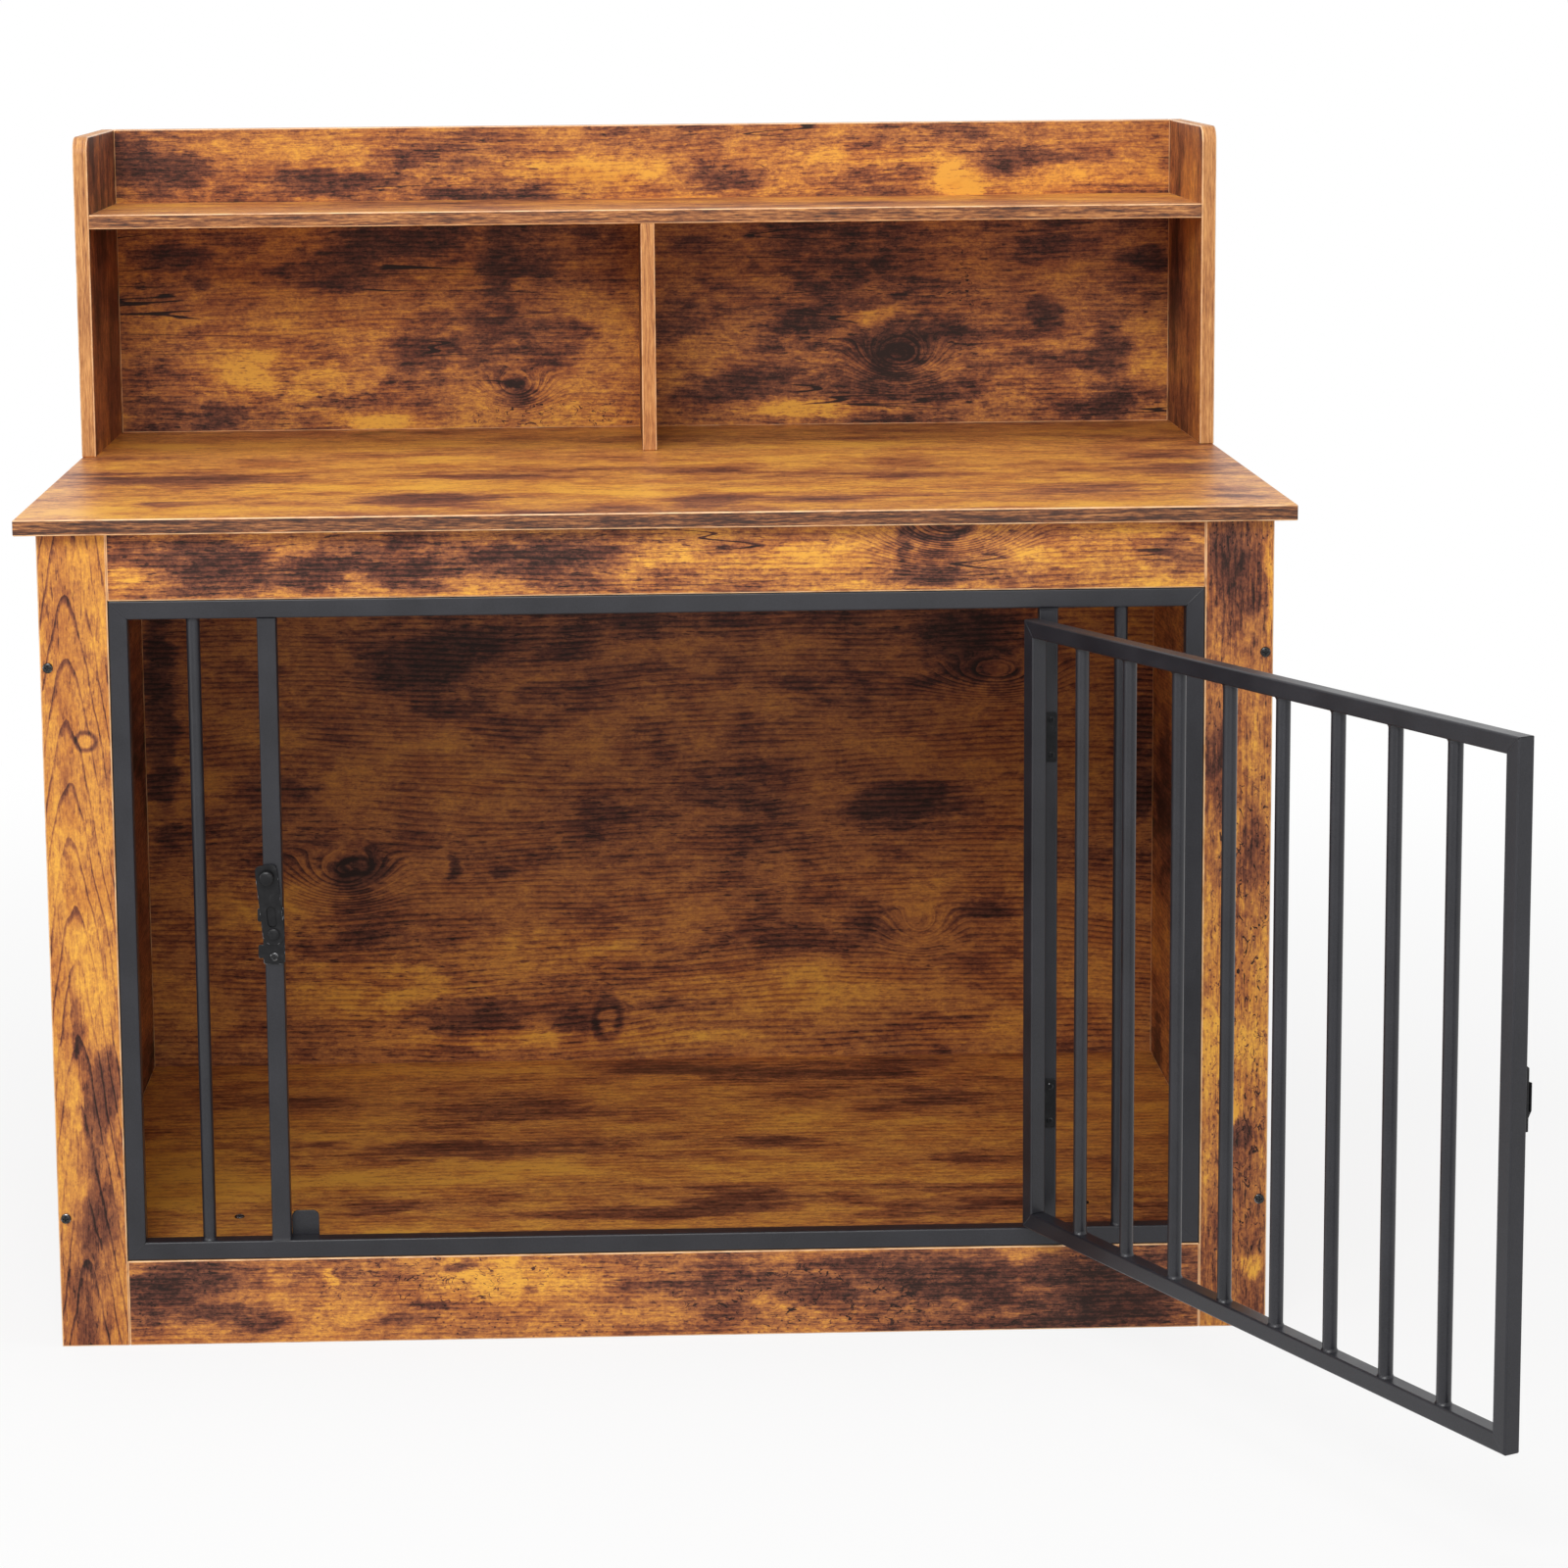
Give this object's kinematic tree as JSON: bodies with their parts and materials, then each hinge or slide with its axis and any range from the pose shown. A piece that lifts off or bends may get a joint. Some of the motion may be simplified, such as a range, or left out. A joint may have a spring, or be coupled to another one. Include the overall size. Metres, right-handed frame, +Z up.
{
  "type": "dog crate end table",
  "caption": "Dog crate that serves as an end table: a board case with a hinged steel grille door and latch, a table top, and an open hutch with a shelf.",
  "frame": {"origin": "on the floor, under the middle of the bottom front rail, at half the rail's thickness", "axes": "+X to the right as seen from the front, +Y to the back, +Z up"},
  "size_m": [1.2845, 1.4068, 1.141],
  "materials": {
    "laminate_board": "printed rustic brown wood grain, satin, over particle board",
    "grille_steel": "matte charcoal powder coat",
    "black_hardware": "black finish with worn bright edges"
  },
  "bodies": {
    "crate": {"left_front_stile": "laminate_board", "right_front_stile": "laminate_board", "top_front_rail": "laminate_board", "bottom_front_rail": "laminate_board", "left_side_panel": "laminate_board", "right_side_panel": "laminate_board", "back_panel": "laminate_board", "floor_panel": "laminate_board", "left_floor_batten": "laminate_board", "right_floor_batten": "laminate_board", "table_top": "laminate_board", "hutch_left_side": "laminate_board", "hutch_right_side": "laminate_board", "hutch_back_panel": "laminate_board", "hutch_shelf": "laminate_board", "hutch_divider": "laminate_board", "grille_top_tube": "grille_steel", "grille_bottom_tube": "grille_steel", "grille_left_tube": "grille_steel", "grille_right_tube": "grille_steel", "latch_post": "grille_steel", "hinge_post": "grille_steel", "left_fixed_bar": "grille_steel", "right_fixed_bar": "grille_steel", "door_stop_plate": "grille_steel", "upper_hinge_post_leaf": "black_hardware", "upper_hinge_pin": "black_hardware", "lower_hinge_post_leaf": "black_hardware", "lower_hinge_pin": "black_hardware", "latch_plate": "black_hardware", "latch_rivet": "black_hardware", "latch_screw": "black_hardware", "left_stile_screw_lower": "black_hardware", "left_stile_screw_upper": "black_hardware", "right_stile_screw_lower": "black_hardware", "right_stile_screw_upper": "black_hardware", "left_floor_screw_front": "black_hardware", "left_floor_screw_rear": "black_hardware", "right_floor_screw_front": "black_hardware", "right_floor_screw_rear": "black_hardware", "left_hutch_screw_front": "black_hardware", "left_hutch_screw_rear": "black_hardware", "right_hutch_screw_front": "black_hardware", "right_hutch_screw_rear": "black_hardware"},
    "door": {"door_top_tube": "grille_steel", "door_bottom_tube": "grille_steel", "door_latch_stile": "grille_steel", "door_hinge_stile": "grille_steel", "door_bar_1": "grille_steel", "door_bar_2": "grille_steel", "door_bar_3": "grille_steel", "door_bar_4": "grille_steel", "door_bar_5": "grille_steel", "door_bar_6": "grille_steel", "door_bar_7": "grille_steel", "door_bar_8": "grille_steel", "door_keeper": "black_hardware", "upper_hinge_door_leaf": "black_hardware", "lower_hinge_door_leaf": "black_hardware"},
    "latch_lever": {"latch_lever": "black_hardware"}
  },
  "joints": [
    {"name": "door_swing", "type": "hinge", "parent": "crate", "child": "door", "pos_m": [0.36, -0.0121, 0.4045], "axis": [0, 0, 1], "range_deg": [-117, 60]},
    {"name": "latch_turn", "type": "hinge", "parent": "crate", "child": "latch_lever", "pos_m": [-0.3685, -0.0065, 0.404], "axis": [0, 1, 0], "range_deg": [-25, 95.5]}
  ]
}
